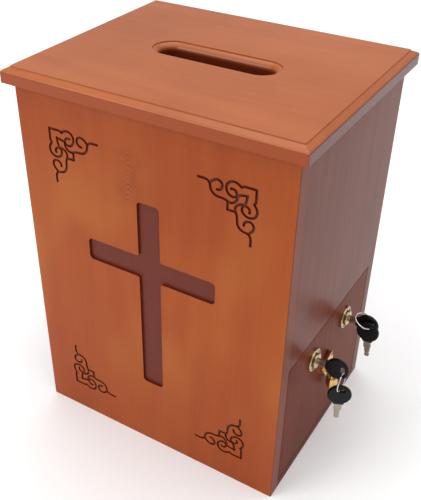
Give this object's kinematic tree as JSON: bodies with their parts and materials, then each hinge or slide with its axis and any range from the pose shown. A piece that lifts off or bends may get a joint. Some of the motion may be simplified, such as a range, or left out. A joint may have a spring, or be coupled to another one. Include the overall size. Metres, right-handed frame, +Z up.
{
  "type": "donation box",
  "caption": "Wooden donation box: slotted moulded lid, sunk cross and engraved scroll corners on the front, and a side drawer with a drop pull and cam locks with keys.",
  "frame": {"origin": "centre of the underside of the case", "axes": "+Z up; +X out of the side that holds the drawer and the locks; the engraved front faces -Y"},
  "size_m": [0.3353, 0.244, 0.4],
  "materials": {
    "front_wood": "orange-brown stain under satin lacquer",
    "stained_wood": "red-brown stain under satin lacquer",
    "plain_wood": "bare planed wood",
    "pull_brass": "polished",
    "lock_brass": "polished plate",
    "steel": "zinc plated",
    "key_metal": "nickel plated",
    "black_plastic": "gloss moulded",
    "ring_wire": "bright wire"
  },
  "bodies": {
    "case": {"front_panel": "front_wood", "back_panel": "stained_wood", "left_side_panel": "stained_wood", "right_side_panel": "stained_wood", "bottom_board": "stained_wood", "lid_board": "stained_wood", "front_lid_cleat": "plain_wood", "back_lid_cleat": "plain_wood", "lid_screws": "steel", "front_drawer_kicker": "plain_wood", "back_drawer_kicker": "plain_wood", "front_left_corner_block": "plain_wood", "back_left_corner_block": "plain_wood", "front_right_corner_block": "plain_wood", "back_right_corner_block": "plain_wood"},
    "drawer": {"drawer_front": "stained_wood", "drawer_front_side": "plain_wood", "drawer_back_side": "plain_wood", "drawer_rear": "plain_wood", "drawer_floor": "plain_wood", "pull_plate": "pull_brass", "pull_pin": "pull_brass", "pull_screw": "steel", "pull_washer": "steel", "front_lock_body": "lock_brass", "front_lock_nut": "steel", "back_lock_body": "lock_brass", "back_lock_nut": "steel"},
    "drop_pull": {"pull_drop": "pull_brass"},
    "front_plug": {"front_lock_plug": "lock_brass", "front_lock_cam": "steel", "front_cam_screw": "steel"},
    "front_key": {"front_key_blade": "key_metal", "front_key_head": "black_plastic"},
    "front_ring": {"front_key_ring": "ring_wire"},
    "front_spare_key": {"front_spare_key_blade": "key_metal", "front_spare_key_head": "black_plastic"},
    "back_plug": {"back_lock_plug": "lock_brass", "back_lock_cam": "steel", "back_cam_screw": "steel"},
    "back_key": {"back_key_blade": "key_metal", "back_key_head": "black_plastic"},
    "back_ring": {"back_key_ring": "ring_wire"},
    "back_spare_key": {"back_spare_key_blade": "key_metal", "back_spare_key_head": "black_plastic"}
  },
  "joints": [
    {"name": "drawer_slide", "type": "slide", "parent": "case", "child": "drawer", "axis": [1, 0, 0], "range_m": [0, 0.2]},
    {"name": "pull_swing", "type": "hinge", "parent": "drawer", "child": "drop_pull", "pos_m": [0.1482, 0.0005, 0.092], "axis": [0, -1, 0], "range_deg": [0, 140]},
    {"name": "front_lock_turn", "type": "hinge", "parent": "drawer", "child": "front_plug", "pos_m": [0.142, -0.0395, 0.1315], "axis": [1, 0, 0], "range_deg": [0, 90]},
    {"name": "front_key_withdraw", "type": "slide", "parent": "front_plug", "child": "front_key", "axis": [1, 0, 0], "range_m": [0, 0.0125]},
    {"name": "front_ring_swing", "type": "hinge", "parent": "front_key", "child": "front_ring", "pos_m": [0.174, -0.0395, 0.127], "axis": [0, -1, 0], "range_deg": [-12, 75]},
    {"name": "front_spare_key_swing", "type": "hinge", "parent": "front_ring", "child": "front_spare_key", "pos_m": [0.174, -0.0395, 0.1066], "axis": [0, -1, 0], "range_deg": [-18, 60]},
    {"name": "back_lock_turn", "type": "hinge", "parent": "drawer", "child": "back_plug", "pos_m": [0.142, 0.0395, 0.1315], "axis": [1, 0, 0], "range_deg": [0, 90]},
    {"name": "back_key_withdraw", "type": "slide", "parent": "back_plug", "child": "back_key", "axis": [1, 0, 0], "range_m": [0, 0.0125]},
    {"name": "back_ring_swing", "type": "hinge", "parent": "back_key", "child": "back_ring", "pos_m": [0.174, 0.0395, 0.133], "axis": [0, 1, 0], "range_deg": [0, 150]},
    {"name": "back_spare_key_swing", "type": "hinge", "parent": "back_key", "child": "back_spare_key", "pos_m": [0.174, 0.0395, 0.133], "axis": [0, -1, 0], "range_deg": [-18, 60]}
  ]
}
